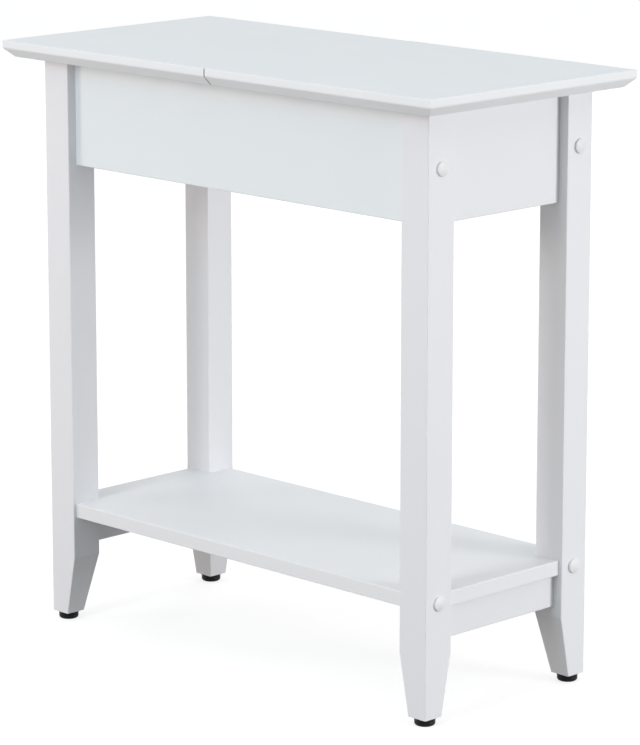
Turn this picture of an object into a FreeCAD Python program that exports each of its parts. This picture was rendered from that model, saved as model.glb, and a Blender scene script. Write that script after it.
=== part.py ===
import FreeCAD, Part
import math
import os

V = FreeCAD.Vector

# Lift top end table. Millimetres, X along the table, Y from front to rear, Z up.
# The origin is on the floor under the middle of the table.
# The left half of the top is fixed, the right half is the lid.

# Top
TOP_LENGTH = 600.0
TOP_WIDTH = 288.0
TOP_THICKNESS = 17.0
TABLE_HEIGHT = 610.0
TOP_OVERHANG = 30.0
TOP_CHAMFER = 9.0
TOP_ARRIS = 3.0
TOP_EASING = 1.0
SEAM_GAP = 1.6
BUMPER_STANDOFF = 0.3

# Legs and their glides
LEG_SIZE = 35.0
FOOT_SIZE = 23.0
FOOT_TAPER = 62.0
LEG_EASING = 1.0
GLIDE_HEIGHT = 8.0
GLIDE_DIAMETER = 21.0
GLIDE_ROUNDING = 2.5
GLIDE_NAIL_DIAMETER = 3.0
GLIDE_NAIL_LENGTH = 22.0
GLIDE_NAIL_HEAD = 7.0

# Storage box: aprons, bottom panel, divider, cleats
APRON_HEIGHT = 109.0
APRON_THICKNESS = 15.0
APRON_SETBACK = 10.5
PANEL_EASING = 1.0
BOTTOM_THICKNESS = 5.0
BOTTOM_REBATE = 7.0
DIVIDER_THICKNESS = 15.0
DIVIDER_DROP = 3.0
CLEAT_SIZE = 15.0
CLEAT_END_GAP = 12.0
CLEAT_DIVIDER_GAP = 35.0
FIT = 0.3

# Shelf and lower rails
SHELF_UNDERSIDE = 113.5
SHELF_THICKNESS = 15.0
SHELF_SETBACK = 4.0
SHELF_EASING = 1.0
RAIL_HEIGHT = 33.0

# Connector bolts with barrel nuts and caps
BOLT_DIAMETER = 6.0
BOLT_LENGTH = 60.0
BOLT_HEAD_DIAMETER = 11.0
BOLT_HEAD_HEIGHT = 3.0
BOLT_KEY_RADIUS = 2.3
BOLT_KEY_DEPTH = 2.1
BOLT_CLEARANCE = 0.5
COUNTERBORE_DIAMETER = 12.0
COUNTERBORE_DEPTH = 6.0
NUT_DIAMETER = 10.0
NUT_LENGTH = 12.0
NUT_SETBACK = 25.0
NUT_CLEARANCE = 0.2
NUT_SLOT_WIDTH = 1.2
NUT_SLOT_DEPTH = 1.5
CAP_DIAMETER = 14.5
CAP_HEIGHT = 3.5
CAP_WALL = 2.0
CAP_EASING = 0.5
CAP_STEM = 2.0

# Dowels
DOWEL_DIAMETER = 6.0
DOWEL_LENGTH = 30.0
DOWEL_CHAMFER = 0.8
APRON_DOWEL_RISE = 38.0
END_DOWEL_RISE = 22.0
RAIL_DOWEL_RISE = 9.0
DIVIDER_DOWEL_RISE = 32.0
DIVIDER_DOWEL_LENGTH = 22.0
DIVIDER_DOWEL_SEAT = 8.0

# Wood screws
TOP_SCREW_DIAMETER = 3.5
TOP_SCREW_HEAD = 7.0
TOP_SCREW_GRIP = 11.0
TOP_SCREWS_PER_CLEAT = 3
TOP_SCREW_INSET = 25.0
BOTTOM_SCREW_DIAMETER = 3.0
BOTTOM_SCREW_HEAD = 6.0
BOTTOM_SCREW_LENGTH = 16.0
BOTTOM_SCREWS_PER_LONG_SIDE = 4
BOTTOM_SCREW_INSET = 45.0

# Pan heads: rise per shank diameter, flat crown per head width, upright rim per rise
PAN_HEAD_RISE = 0.6
PAN_HEAD_CROWN = 0.6
PAN_HEAD_RIM = 0.4

# Lid bumpers
BUMPER_DIAMETER = 10.0
BUMPER_RECESS = 1.0

# Concealed cup hinges. Each pivot is (distance from the seam, height over the lid's underside).
HINGE_SIDE_GAP = 3.5
CARRIER_ARM_PIVOT = (27.1, -15.0)
CARRIER_CUP_PIVOT = (8.5, 1.8)
GUIDE_ARM_PIVOT = (24.9, -3.15)
GUIDE_CUP_PIVOT = (11.45, 5.1)
GUIDE_END_OFFSET = (-0.5, 0.8)
CARRIER_BULGE = 10.3
GUIDE_BULGE = 8.2
LINK_THICKNESS = 1.2
CARRIER_WIDTH = 10.0
CARRIER_SLOT = 6.8
CARRIER_WEB_TOP = -6.0
GUIDE_WIDTH = 6.0
PIN_RADIUS = 1.25
PIVOT_PLAY = 0.08
EYE_WALL = 0.8
GUIDE_PIN_RADIUS = 0.9
GUIDE_PIN_PLAY = 1.15
CUP_DIAMETER = 35.0
CUP_DEPTH = 11.5
CUP_WALL = 0.8
CUP_EDGE_WEB = 3.0
CUP_PLAY = 0.1
CUP_CHEEK_SPAN = 13.0
CUP_CHEEK_THICKNESS = 1.5
CUP_CHEEK_REACH = 13.0
FLANGE_THICKNESS = 1.0
FLANGE_RIM = 1.5
FLANGE_LENGTH = 60.0
FLANGE_WIDTH = 12.0
CUP_SCREW_SPACING = 48.0
CUP_SCREW_OFFSET = 6.0
CUP_SCREW_LENGTH = 13.0
HINGE_SCREW_DIAMETER = 3.5
HINGE_SCREW_HEAD = 7.0
PLATE_THICKNESS = 2.0
PLATE_LENGTH = 44.0
PLATE_WIDTH = 16.0
PLATE_DROP = 37.0
PLATE_SCREW_SPACING = 32.0
PLATE_SCREW_LENGTH = 13.0
RAIL_BAR_WIDTH = 10.0
RAIL_BAR_RISE = 6.0
ARM_THICKNESS = 1.2
ARM_WIDTH = 13.0
ARM_BOTTOM = -60.0
ARM_SHOULDER = -27.0
ARM_THROAT = -22.0
ARM_SCREW_DIAMETER = 4.0
ARM_SCREW_HEAD = 7.0
ARM_SCREW_LENGTH = 5.5
ARM_SCREW_DROPS = (39.0, 52.0)

# Derived places
LID_UNDERSIDE = TABLE_HEIGHT - TOP_THICKNESS
FRAME_TOP = LID_UNDERSIDE - BUMPER_STANDOFF
LEG_OUTER_X = TOP_LENGTH / 2 - TOP_OVERHANG
LEG_OUTER_Y = TOP_WIDTH / 2 - TOP_OVERHANG
LEG_INNER_X = LEG_OUTER_X - LEG_SIZE
LEG_INNER_Y = LEG_OUTER_Y - LEG_SIZE
APRON_OUTER_X = LEG_OUTER_X - APRON_SETBACK
APRON_OUTER_Y = LEG_OUTER_Y - APRON_SETBACK
APRON_INNER_X = APRON_OUTER_X - APRON_THICKNESS
APRON_INNER_Y = APRON_OUTER_Y - APRON_THICKNESS
APRON_MIDDLE_X = (APRON_OUTER_X + APRON_INNER_X) / 2
APRON_MIDDLE_Y = (APRON_OUTER_Y + APRON_INNER_Y) / 2
APRON_BOTTOM = FRAME_TOP - APRON_HEIGHT
APRON_MIDDLE_Z = FRAME_TOP - APRON_HEIGHT / 2
BOTTOM_TOP = APRON_BOTTOM + BOTTOM_THICKNESS
SHELF_MIDDLE_Z = SHELF_UNDERSIDE + SHELF_THICKNESS / 2
RAIL_MIDDLE_Z = SHELF_UNDERSIDE - RAIL_HEIGHT / 2
BOLT_SEAT_X = LEG_OUTER_X - COUNTERBORE_DEPTH
NUT_X = LEG_INNER_X - NUT_SETBACK
CUP_X = SEAM_GAP / 2 + CUP_EDGE_WEB + CUP_DIAMETER / 2
CUP_SCREW_X = CUP_X + CUP_SCREW_OFFSET
HINGE_Y = APRON_INNER_Y - HINGE_SIDE_GAP - FLANGE_LENGTH / 2
PLATE_FACE_X = DIVIDER_THICKNESS / 2 + PLATE_THICKNESS
RAIL_BAR_FACE_X = PLATE_FACE_X + RAIL_BAR_RISE
EYE_RADIUS = PIN_RADIUS + EYE_WALL
FOOT_X = LEG_OUTER_X - FOOT_SIZE / 2
FOOT_Y = LEG_OUTER_Y - FOOT_SIZE / 2
CORNERS = {
    "front_left": (-1, -1),
    "front_right": (1, -1),
    "rear_left": (-1, 1),
    "rear_right": (1, 1),
}


def block(x0, x1, y0, y1, z0, z1):
    """Box between two opposite corners."""
    return Part.makeBox(x1 - x0, y1 - y0, z1 - z0, V(x0, y0, z0))


def rod(diameter, start, end):
    """Cylinder between the centres of its two end faces."""
    axis = end - start
    return Part.makeCylinder(diameter / 2, axis.Length, start, axis)


def revolved(profile, base, axis):
    """Solid of revolution from (radius, height) points, standing on base along axis."""
    wire = Part.makePolygon([V(radius, 0, height) for radius, height in profile + profile[:1]])
    return stood(Part.Face(wire).revolve(V(0, 0, 0), V(0, 0, 1), 360), base, axis)


def stood(shape, base, axis):
    """Move a shape made about +Z from the origin so that it stands on base along axis."""
    moved = shape.copy()
    moved.Placement = FreeCAD.Placement(base, FreeCAD.Rotation(V(0, 0, 1), axis))
    return moved


def mirrored(shape, x_side, y_side):
    """A shape modelled at +X +Y, reflected to the side asked for."""
    if x_side < 0:
        shape = shape.mirror(V(0, 0, 0), V(1, 0, 0))
    if y_side < 0:
        shape = shape.mirror(V(0, 0, 0), V(0, 1, 0))
    return shape


def on_corners(shape):
    """The four reflections of a shape modelled at +X +Y."""
    return [mirrored(shape, x_side, y_side) for x_side, y_side in CORNERS.values()]


def on_ends(shape):
    """A shape modelled at +X and its reflection at -X."""
    return [shape, mirrored(shape, -1, 1)]


def on_sides(shape):
    """A shape modelled at +Y and its reflection at -Y."""
    return [shape, mirrored(shape, 1, -1)]


def spread(count, low, high):
    """Evenly spaced places from low to high."""
    return [low + (high - low) * index / (count - 1) for index in range(count)]


def edges_where(shape, test):
    """Edges whose bounding box passes the test."""
    return [edge for edge in shape.Edges if test(edge.BoundBox)]


def bolt_lines():
    """Height of each row of connector bolts."""
    return [APRON_MIDDLE_Z, SHELF_MIDDLE_Z]


def long_dowel_points():
    """Middle of each dowel between a long apron and the leg at +X +Y."""
    return [
        V(LEG_INNER_X, APRON_MIDDLE_Y, APRON_MIDDLE_Z + rise)
        for rise in (-APRON_DOWEL_RISE, APRON_DOWEL_RISE)
    ]


def end_dowel_points():
    """Middle of each dowel between an end apron or lower rail and the leg at +X +Y."""
    apron = [APRON_MIDDLE_Z + rise for rise in (-END_DOWEL_RISE, END_DOWEL_RISE)]
    rail = [RAIL_MIDDLE_Z + rise for rise in (-RAIL_DOWEL_RISE, RAIL_DOWEL_RISE)]
    return [V(APRON_MIDDLE_X, LEG_INNER_Y, height) for height in apron + rail]


def divider_dowel_spans():
    """Start and end of each dowel between the divider and the rear apron."""
    end_y = APRON_INNER_Y + DIVIDER_DOWEL_SEAT
    return [
        (
            V(0, end_y - DIVIDER_DOWEL_LENGTH, APRON_MIDDLE_Z + rise),
            V(0, end_y, APRON_MIDDLE_Z + rise),
        )
        for rise in (-DIVIDER_DOWEL_RISE, DIVIDER_DOWEL_RISE)
    ]


def dowel(start, end):
    """Dowel pin with chamfered ends."""
    length = (end - start).Length
    radius = DOWEL_DIAMETER / 2
    profile = [
        (0, 0),
        (radius - DOWEL_CHAMFER, 0),
        (radius, DOWEL_CHAMFER),
        (radius, length - DOWEL_CHAMFER),
        (radius - DOWEL_CHAMFER, length),
        (0, length),
    ]
    return revolved(profile, start, end - start)


def half_dowel(axis):
    """Vector from the middle of a dowel to its end."""
    return axis * (DOWEL_LENGTH / 2)


def long_dowels():
    return [dowel(p - half_dowel(V(1, 0, 0)), p + half_dowel(V(1, 0, 0))) for p in long_dowel_points()]


def end_dowels():
    return [dowel(p - half_dowel(V(0, 1, 0)), p + half_dowel(V(0, 1, 0))) for p in end_dowel_points()]


def divider_dowels():
    return [dowel(start, end) for start, end in divider_dowel_spans()]


def bolt_bore(height):
    """Bore for one connector bolt at +X +Y, from the leg's outer face past the bolt's tip."""
    tip_x = BOLT_SEAT_X - BOLT_LENGTH - BOLT_CLEARANCE
    y = APRON_MIDDLE_Y
    bore = rod(BOLT_DIAMETER + BOLT_CLEARANCE, V(tip_x, y, height), V(LEG_OUTER_X, y, height))
    counterbore = rod(COUNTERBORE_DIAMETER, V(BOLT_SEAT_X, y, height), V(LEG_OUTER_X, y, height))
    return bore.fuse(counterbore)


def leg_profile(outer, inner):
    """Outline of a leg seen square to one of its tapered faces, as (across, height) points."""
    knee = GLIDE_HEIGHT + FOOT_TAPER
    return [
        (outer, GLIDE_HEIGHT),
        (outer, FRAME_TOP),
        (inner, FRAME_TOP),
        (inner, knee),
        (outer - FOOT_SIZE, GLIDE_HEIGHT),
    ]


def leg():
    """Leg at +X +Y: square, tapered at the foot on its two inner faces."""
    seen_from_front = [V(x, 0, z) for x, z in leg_profile(LEG_OUTER_X, LEG_INNER_X)]
    seen_from_end = [V(0, y, z) for y, z in leg_profile(LEG_OUTER_Y, LEG_INNER_Y)]
    front_face = Part.Face(Part.makePolygon(seen_from_front + seen_from_front[:1]))
    end_face = Part.Face(Part.makePolygon(seen_from_end + seen_from_end[:1]))
    body = front_face.extrude(V(0, LEG_OUTER_Y, 0)).common(end_face.extrude(V(LEG_OUTER_X, 0, 0)))
    body = body.makeFillet(LEG_EASING, edges_where(body, lambda box: box.ZLength > LEG_EASING))
    nail_top = V(FOOT_X, FOOT_Y, glide_nail_seat() + GLIDE_NAIL_LENGTH)
    holes = [bolt_bore(height) for height in bolt_lines()]
    holes += long_dowels() + end_dowels()
    holes.append(rod(GLIDE_NAIL_DIAMETER, V(FOOT_X, FOOT_Y, 0), nail_top))
    return body.cut(holes)


def apron_rebate_x():
    """Rebate for the bottom panel along the inside of the rear apron."""
    return block(
        -LEG_INNER_X, LEG_INNER_X, APRON_INNER_Y, APRON_INNER_Y + BOTTOM_REBATE, APRON_BOTTOM, BOTTOM_TOP
    )


def apron_rebate_y():
    """Rebate for the bottom panel along the inside of the right end apron."""
    return block(
        APRON_INNER_X, APRON_INNER_X + BOTTOM_REBATE, -LEG_INNER_Y, LEG_INNER_Y, APRON_BOTTOM, BOTTOM_TOP
    )


def eased_board(x0, x1, y0, y1, z0, z1, test, radius):
    """Board with the edges that pass the test rounded."""
    board = block(x0, x1, y0, y1, z0, z1)
    return board.makeFillet(radius, edges_where(board, test))


def rear_apron():
    """Long apron at +Y, between the rear legs. The front apron is its reflection."""
    board = eased_board(
        -LEG_INNER_X,
        LEG_INNER_X,
        APRON_INNER_Y,
        APRON_OUTER_Y,
        APRON_BOTTOM,
        FRAME_TOP,
        lambda box: box.YMin > APRON_MIDDLE_Y and box.ZMax < APRON_MIDDLE_Z,
        PANEL_EASING,
    )
    cuts = [apron_rebate_x()]
    cuts += on_ends(bolt_bore(APRON_MIDDLE_Z))
    cuts += on_ends(nut_pocket(V(NUT_X, APRON_MIDDLE_Y, APRON_MIDDLE_Z), V(0, -1, 0), APRON_THICKNESS))
    for pin in long_dowels():
        cuts += on_ends(pin)
    cuts += divider_dowels()
    cuts += [screw for screw in bottom_screw_set() if screw.BoundBox.YMin > LEG_INNER_Y]
    return board.cut(cuts)


def right_end_apron():
    """Short apron at +X, between the right legs. The left one is its reflection."""
    board = eased_board(
        APRON_INNER_X,
        APRON_OUTER_X,
        -LEG_INNER_Y,
        LEG_INNER_Y,
        APRON_BOTTOM,
        FRAME_TOP,
        lambda box: box.XMin > APRON_MIDDLE_X and box.ZMax < APRON_MIDDLE_Z,
        PANEL_EASING,
    )
    cuts = [apron_rebate_y()]
    for pin in end_dowels():
        cuts += on_sides(pin)
    cuts += [screw for screw in bottom_screw_set() if screw.BoundBox.XMin > LEG_INNER_X]
    return board.cut(cuts)


def right_lower_rail():
    """Rail under the right end of the shelf, in line with the end apron."""
    board = eased_board(
        APRON_INNER_X,
        APRON_OUTER_X,
        -LEG_INNER_Y,
        LEG_INNER_Y,
        SHELF_UNDERSIDE - RAIL_HEIGHT,
        SHELF_UNDERSIDE,
        lambda box: box.XMin > APRON_MIDDLE_X and box.ZMax < RAIL_MIDDLE_Z,
        PANEL_EASING,
    )
    cuts = []
    for pin in end_dowels():
        cuts += on_sides(pin)
    return board.cut(cuts)


def shelf_board():
    """Shelf, notched round the four legs."""
    half_length = LEG_OUTER_X - SHELF_SETBACK
    half_width = LEG_OUTER_Y - SHELF_SETBACK
    top = SHELF_UNDERSIDE + SHELF_THICKNESS
    board = eased_board(
        -half_length,
        half_length,
        -half_width,
        half_width,
        SHELF_UNDERSIDE,
        top,
        lambda box: box.ZLength < SHELF_EASING,
        SHELF_EASING,
    )
    notch = block(LEG_INNER_X, LEG_OUTER_X, LEG_INNER_Y, LEG_OUTER_Y, SHELF_UNDERSIDE, top)
    nut = nut_pocket(V(NUT_X, APRON_MIDDLE_Y, SHELF_MIDDLE_Z), V(0, 0, -1), SHELF_THICKNESS)
    cuts = on_corners(notch)
    cuts += on_corners(bolt_bore(SHELF_MIDDLE_Z))
    cuts += on_corners(nut)
    return board.cut(cuts)


def bottom_outline():
    """Half length and half width of the bottom panel in its rebate."""
    return APRON_INNER_X + BOTTOM_REBATE - FIT, APRON_INNER_Y + BOTTOM_REBATE - FIT


def bottom_screw_places():
    """Places of the screws that hold the bottom panel, on the floor plan."""
    along = BOTTOM_REBATE / 2
    long_y = APRON_INNER_Y + along
    end_x = APRON_INNER_X + along
    reach = LEG_INNER_X - BOTTOM_SCREW_INSET
    places = [(x, y) for x in spread(BOTTOM_SCREWS_PER_LONG_SIDE, -reach, reach) for y in (-long_y, long_y)]
    places += [(-end_x, 0), (end_x, 0)]
    return places


def countersunk_screw(diameter, head, length, base, axis):
    """Screw whose flat head starts at base; it runs along axis to a pointed tip."""
    radius = diameter / 2
    cone = (head - diameter) / 2
    profile = [(0, 0), (head / 2, 0), (radius, cone), (radius, length - diameter), (0, length)]
    return revolved(profile, base, axis)


def pan_head_screw(diameter, head, length, seat, axis):
    """Screw whose domed head lies behind seat; it runs along axis to a pointed tip."""
    radius = diameter / 2
    height = diameter * PAN_HEAD_RISE
    profile = [
        (0, -height),
        (head / 2 * PAN_HEAD_CROWN, -height),
        (head / 2, -height * PAN_HEAD_RIM),
        (head / 2, 0),
        (radius, 0),
        (radius, length - diameter),
        (0, length),
    ]
    return revolved(profile, seat, axis)


def bottom_screw_set():
    """Countersunk screws that hold the bottom panel, driven from below."""
    return [
        countersunk_screw(
            BOTTOM_SCREW_DIAMETER, BOTTOM_SCREW_HEAD, BOTTOM_SCREW_LENGTH, V(x, y, APRON_BOTTOM), V(0, 0, 1)
        )
        for x, y in bottom_screw_places()
    ]


def box_bottom_panel():
    """Bottom of the storage box, let into the aprons' rebates from below."""
    half_length, half_width = bottom_outline()
    panel = block(-half_length, half_length, -half_width, half_width, APRON_BOTTOM, BOTTOM_TOP)
    notch = block(LEG_INNER_X - FIT, LEG_OUTER_X, LEG_INNER_Y - FIT, LEG_OUTER_Y, APRON_BOTTOM, BOTTOM_TOP)
    return panel.cut(on_corners(notch) + bottom_screw_set())


def nut_pocket(centre, out, thickness):
    """Blind hole for a barrel nut, open on the face that out points to."""
    depth = (thickness + NUT_LENGTH) / 2
    start = centre + out * (thickness / 2)
    return rod(NUT_DIAMETER + NUT_CLEARANCE, start, start - out * depth)


def barrel_nut(centre, out):
    """Cross nut for a connector bolt, with a driver slot in its outer end."""
    half = out * (NUT_LENGTH / 2)
    body = rod(NUT_DIAMETER, centre - half, centre + half)
    thread = rod(BOLT_DIAMETER, centre - V(NUT_DIAMETER, 0, 0), centre + V(NUT_DIAMETER, 0, 0))
    side = NUT_SLOT_WIDTH / 2
    slot = block(-NUT_DIAMETER, NUT_DIAMETER, -side, side, NUT_LENGTH / 2 - NUT_SLOT_DEPTH, NUT_LENGTH)
    return body.cut([thread, stood(slot, centre, out)])


def barrel_nuts():
    in_apron = barrel_nut(V(NUT_X, APRON_MIDDLE_Y, APRON_MIDDLE_Z), V(0, -1, 0))
    in_shelf = barrel_nut(V(NUT_X, APRON_MIDDLE_Y, SHELF_MIDDLE_Z), V(0, 0, -1))
    return on_corners(in_apron) + on_corners(in_shelf)


def connector_bolt(height):
    """Bolt at +X +Y with a flat head and a hexagon socket."""
    seat = V(BOLT_SEAT_X, APRON_MIDDLE_Y, height)
    head_end = seat + V(BOLT_HEAD_HEIGHT, 0, 0)
    shank = rod(BOLT_DIAMETER, seat - V(BOLT_LENGTH, 0, 0), seat)
    head = rod(BOLT_HEAD_DIAMETER, seat, head_end)
    corners = [
        head_end + V(0, BOLT_KEY_RADIUS * math.cos(turn), BOLT_KEY_RADIUS * math.sin(turn))
        for turn in [math.radians(60 * side) for side in range(7)]
    ]
    socket = Part.Face(Part.makePolygon(corners)).extrude(V(-BOLT_KEY_DEPTH, 0, 0))
    return shank.fuse(head).removeSplitter().cut(socket)


def bolt_cap(height):
    """Cap at +X +Y over a bolt head: an upright wall under a low dome, and a stem in the counterbore."""
    radius = CAP_DIAMETER / 2
    rise = CAP_HEIGHT - CAP_WALL
    ball = (radius**2 + rise**2) / (2 * rise)
    face = V(LEG_OUTER_X, APRON_MIDDLE_Y, height)
    out = V(1, 0, 0)
    sphere = Part.makeSphere(ball, face - out * (ball - CAP_HEIGHT))
    button = sphere.common(rod(CAP_DIAMETER, face, face + out * CAP_HEIGHT))
    rim = edges_where(button, lambda box: box.XMin > face.x and box.XLength < CAP_EASING)
    button = button.makeFillet(CAP_EASING, rim)
    stem = rod(COUNTERBORE_DIAMETER - FIT, face - out * CAP_STEM, face)
    return button.fuse(stem)


def glide_nail_seat():
    """Height of the nail head's seat inside the glide."""
    return GLIDE_HEIGHT / 2


def glide():
    """Round plastic glide at +X +Y with a rounded lower edge and a hole for its nail."""
    base = V(FOOT_X, FOOT_Y, 0)
    top = V(FOOT_X, FOOT_Y, GLIDE_HEIGHT)
    body = rod(GLIDE_DIAMETER, base, top)
    rim = [edge for edge in body.Edges if edge.BoundBox.ZMax < GLIDE_ROUNDING and edge.Closed]
    body = body.makeFillet(GLIDE_ROUNDING, rim)
    hole = rod(GLIDE_NAIL_DIAMETER + FIT, base, top)
    head_hole = rod(GLIDE_NAIL_HEAD + FIT, base, V(FOOT_X, FOOT_Y, glide_nail_seat()))
    return body.cut([hole, head_hole])


def glide_nail():
    """Nail at +X +Y that holds a glide to the end grain of the leg."""
    seat = V(FOOT_X, FOOT_Y, glide_nail_seat())
    return pan_head_screw(GLIDE_NAIL_DIAMETER, GLIDE_NAIL_HEAD, GLIDE_NAIL_LENGTH, seat, V(0, 0, 1))


def edge_moulding(reach, underside):
    """Section of the top at one edge, as (across, height) points from its upper to its lower corner."""
    return [
        (reach, underside + TOP_THICKNESS),
        (reach, underside + TOP_CHAMFER),
        (reach - TOP_CHAMFER, underside),
    ]


def moulded(board, outer, underside):
    """Round the outer edges of a board: the arris between band and chamfer, and the upper edge."""
    half_chamfer = TOP_CHAMFER / 2
    band_foot = underside + TOP_CHAMFER
    band_head = underside + TOP_THICKNESS - TOP_EASING
    arris = edges_where(board, lambda box: outer(box) and abs(box.ZMin - band_foot) < half_chamfer)
    board = board.makeFillet(TOP_ARRIS, arris)
    return board.makeFillet(TOP_EASING, edges_where(board, lambda box: outer(box) and box.ZMin > band_head))


def top_half(underside):
    """Half of the top from the seam to the right end, moulded along its three outer edges."""
    end_x = TOP_LENGTH / 2
    half_width = TOP_WIDTH / 2
    seam_x = SEAM_GAP / 2
    rear = edge_moulding(half_width, underside)
    front = [(-across, height) for across, height in reversed(rear)]
    end = [(seam_x, underside), (seam_x, underside + TOP_THICKNESS)] + edge_moulding(end_x, underside)
    long_section = [V(seam_x, y, z) for y, z in rear + front]
    end_section = [V(x, -half_width, z) for x, z in end]
    along_x = Part.Face(Part.makePolygon(long_section + long_section[:1])).extrude(V(end_x - seam_x, 0, 0))
    along_y = Part.Face(Part.makePolygon(end_section + end_section[:1])).extrude(V(0, TOP_WIDTH, 0))
    along_x = moulded(along_x, lambda box: box.XLength > TOP_CHAMFER and box.ZLength < TOP_EASING, underside)
    outermost = end_x - TOP_EASING
    along_y = moulded(along_y, lambda box: box.YLength > TOP_CHAMFER and box.XMin > outermost, underside)
    return along_x.common(along_y)


def cleat_ends():
    """Where a cleat starts and stops along the table, between the left end apron and the divider."""
    return -APRON_INNER_X + CLEAT_END_GAP, -DIVIDER_THICKNESS / 2 - CLEAT_DIVIDER_GAP


def top_cleat():
    """Cleat inside the rear apron that the fixed half of the top is screwed to."""
    start, stop = cleat_ends()
    return block(start, stop, APRON_INNER_Y - CLEAT_SIZE, APRON_INNER_Y, FRAME_TOP - CLEAT_SIZE, FRAME_TOP)


def top_screw_row():
    """Screws through the rear cleat up into the fixed half of the top."""
    start, stop = cleat_ends()
    y = APRON_INNER_Y - CLEAT_SIZE / 2
    places = spread(TOP_SCREWS_PER_CLEAT, start + TOP_SCREW_INSET, stop - TOP_SCREW_INSET)
    length = CLEAT_SIZE + TOP_SCREW_GRIP
    seats = [V(x, y, FRAME_TOP - CLEAT_SIZE) for x in places]
    return [pan_head_screw(TOP_SCREW_DIAMETER, TOP_SCREW_HEAD, length, seat, V(0, 0, 1)) for seat in seats]


def top_screws():
    screws = []
    for screw in top_screw_row():
        screws += on_sides(screw)
    return screws


def fixed_top():
    """Left half of the top, screwed down on the cleats."""
    board = mirrored(top_half(FRAME_TOP), -1, 1)
    return board.cut(top_screws())


def top_cleats():
    return [cleat.cut(top_screws()) for cleat in on_sides(top_cleat())]


def bumper_base(y_side):
    """Foot of a bumper, on the top of a right-hand leg."""
    return V(LEG_OUTER_X - LEG_SIZE / 2, y_side * (LEG_OUTER_Y - LEG_SIZE / 2), FRAME_TOP)


def lid_bumpers():
    height = V(0, 0, BUMPER_STANDOFF + BUMPER_RECESS)
    return [rod(BUMPER_DIAMETER, bumper_base(side), bumper_base(side) + height) for side in (-1, 1)]


def lift_lid():
    """Right half of the top."""
    board = top_half(LID_UNDERSIDE)
    height = V(0, 0, BUMPER_STANDOFF + BUMPER_RECESS)
    cuts = [rod(BUMPER_DIAMETER + FIT, bumper_base(side), bumper_base(side) + height) for side in (-1, 1)]
    cuts += at_hinges(cup_bore())
    for screw in cup_screws():
        cuts += at_hinges(screw)
    return board.cut(cuts)


def at_hinges(shape):
    """Copies of a shape modelled in the plane y = 0, one in each hinge's place."""
    return [shape.translated(V(0, side * HINGE_Y, 0)) for side in (-1, 1)]


def pivot(place, y=0):
    """Point of the table for a hinge place given from the seam and the lid's underside."""
    return V(place[0], y, LID_UNDERSIDE + place[1])


def hinge_pin(place, radius, width):
    """Pin along Y, centred on a pivot."""
    return rod(2 * radius, pivot(place, -width / 2), pivot(place, width / 2))


def guide_end():
    """Where the guide link's free end lies when the lid is shut."""
    return tuple(place + offset for place, offset in zip(GUIDE_CUP_PIVOT, GUIDE_END_OFFSET))


def link_strap(start, end, bulge, width):
    """Curved strip from start to end, an arc that bulges up and away from the seam."""
    first = pivot(start)
    last = pivot(end)
    chord = last - first
    out = chord.cross(V(0, 1, 0)).normalize() * -1
    radius = (chord.Length**2 / 4 + bulge**2) / (2 * bulge)
    crown = (first + last) * 0.5 + out * bulge
    centre = crown - out * radius

    def at_radius(point, size):
        return centre + (point - centre).normalize() * size

    inner = radius - LINK_THICKNESS / 2
    outer = radius + LINK_THICKNESS / 2
    ring = [[at_radius(point, size) for point in (first, crown, last)] for size in (inner, outer)]
    edges = [
        Part.Arc(*ring[0]).toShape(),
        Part.LineSegment(ring[0][2], ring[1][2]).toShape(),
        Part.Arc(*ring[1]).toShape(),
        Part.LineSegment(ring[1][0], ring[0][0]).toShape(),
    ]
    strip = Part.Face(Part.Wire(Part.__sortEdges__(edges)))
    return strip.translated(V(0, -width / 2, 0)).extrude(V(0, width, 0))


def hinge_outer_link():
    """Carrier link: a fork that carries the lid, webbed together below the guide link."""
    body = link_strap(CARRIER_ARM_PIVOT, CARRIER_CUP_PIVOT, CARRIER_BULGE, CARRIER_WIDTH)
    eyes = [hinge_pin(place, EYE_RADIUS, CARRIER_WIDTH) for place in (CARRIER_ARM_PIVOT, CARRIER_CUP_PIVOT)]
    body = body.fuse(eyes).removeSplitter()
    half = CARRIER_SLOT / 2
    top = LID_UNDERSIDE + CUP_DEPTH
    slot = block(0, 2 * CUP_X, -half, half, LID_UNDERSIDE + CARRIER_WEB_TOP, top)
    holes = [
        hinge_pin(place, PIN_RADIUS + PIVOT_PLAY, CARRIER_WIDTH)
        for place in (CARRIER_ARM_PIVOT, CARRIER_CUP_PIVOT)
    ]
    return body.cut([slot] + holes)


def hinge_inner_link():
    """Guide link: a narrow strap between the cheeks of the fork."""
    body = link_strap(GUIDE_ARM_PIVOT, guide_end(), GUIDE_BULGE, GUIDE_WIDTH)
    eyes = [
        hinge_pin(GUIDE_ARM_PIVOT, EYE_RADIUS, GUIDE_WIDTH),
        hinge_pin(guide_end(), GUIDE_PIN_RADIUS + EYE_WALL, GUIDE_WIDTH),
    ]
    holes = [
        hinge_pin(GUIDE_ARM_PIVOT, PIN_RADIUS + PIVOT_PLAY, GUIDE_WIDTH),
        hinge_pin(guide_end(), GUIDE_PIN_RADIUS, GUIDE_WIDTH),
    ]
    return body.fuse(eyes).removeSplitter().cut(holes)


def hinge_guide_pin():
    """Pin fixed in the guide link; its ends stand in wide holes in the cup's cheeks."""
    return hinge_pin(guide_end(), GUIDE_PIN_RADIUS, CUP_CHEEK_SPAN + CUP_CHEEK_THICKNESS)


def hinge_cup_pin():
    """Pin fixed in the cup's cheeks; the carrier link turns on it."""
    return hinge_pin(CARRIER_CUP_PIVOT, PIN_RADIUS, CUP_CHEEK_SPAN + 2 * CUP_CHEEK_THICKNESS)


def hinge_arm_pins():
    """Pins fixed in the arm; the two links turn on them."""
    return [hinge_pin(place, PIN_RADIUS, ARM_WIDTH) for place in (CARRIER_ARM_PIVOT, GUIDE_ARM_PIVOT)]


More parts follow.
